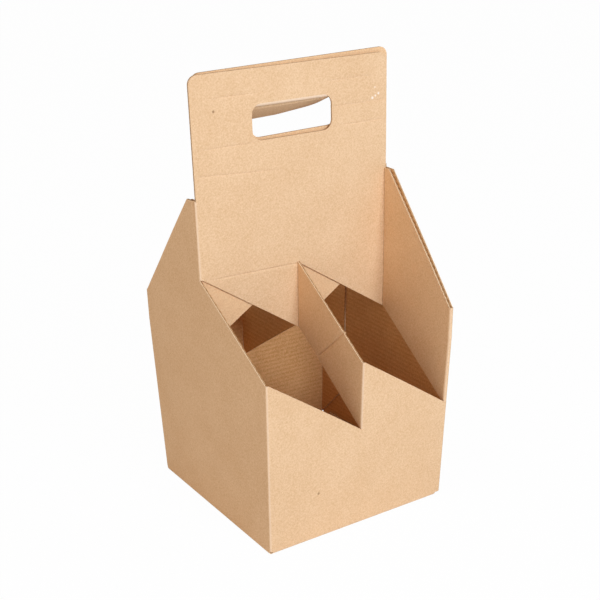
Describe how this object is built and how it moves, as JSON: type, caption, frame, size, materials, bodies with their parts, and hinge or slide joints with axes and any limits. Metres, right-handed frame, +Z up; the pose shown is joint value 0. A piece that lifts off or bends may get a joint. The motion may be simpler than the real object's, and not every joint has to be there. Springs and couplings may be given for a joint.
{
  "type": "corrugated cardboard bottle carrier",
  "caption": "Folded corrugated board carrier for upright bottles, with a tall handle panel, a hand slot, slanted partitions and a tuck-in base.",
  "frame": {"origin": "middle of the base, on the surface that the carrier stands on", "axes": "+Z up; the front panel faces -Y; the handle panel runs along X; the glued seam is at the +X +Y corner"},
  "size_m": [0.165, 0.165, 0.333],
  "materials": {
    "kraft_board": "matt uncoated kraft liner"
  },
  "bodies": {
    "carrier": {"carrier": "kraft_board"},
    "base_flap": {"base_flap": "kraft_board"},
    "hand_flap": {"hand_flap": "kraft_board"}
  },
  "joints": [
    {"name": "base_flap_fold", "type": "hinge", "parent": "carrier", "child": "base_flap", "pos_m": [-0.0825, 0, 0], "axis": [0, 1, 0], "range_deg": [0, 120]},
    {"name": "hand_flap_fold", "type": "hinge", "parent": "carrier", "child": "hand_flap", "pos_m": [-0.0012, -0.0017, 0.308], "axis": [1, 0, 0], "range_deg": [-57, 33]}
  ]
}
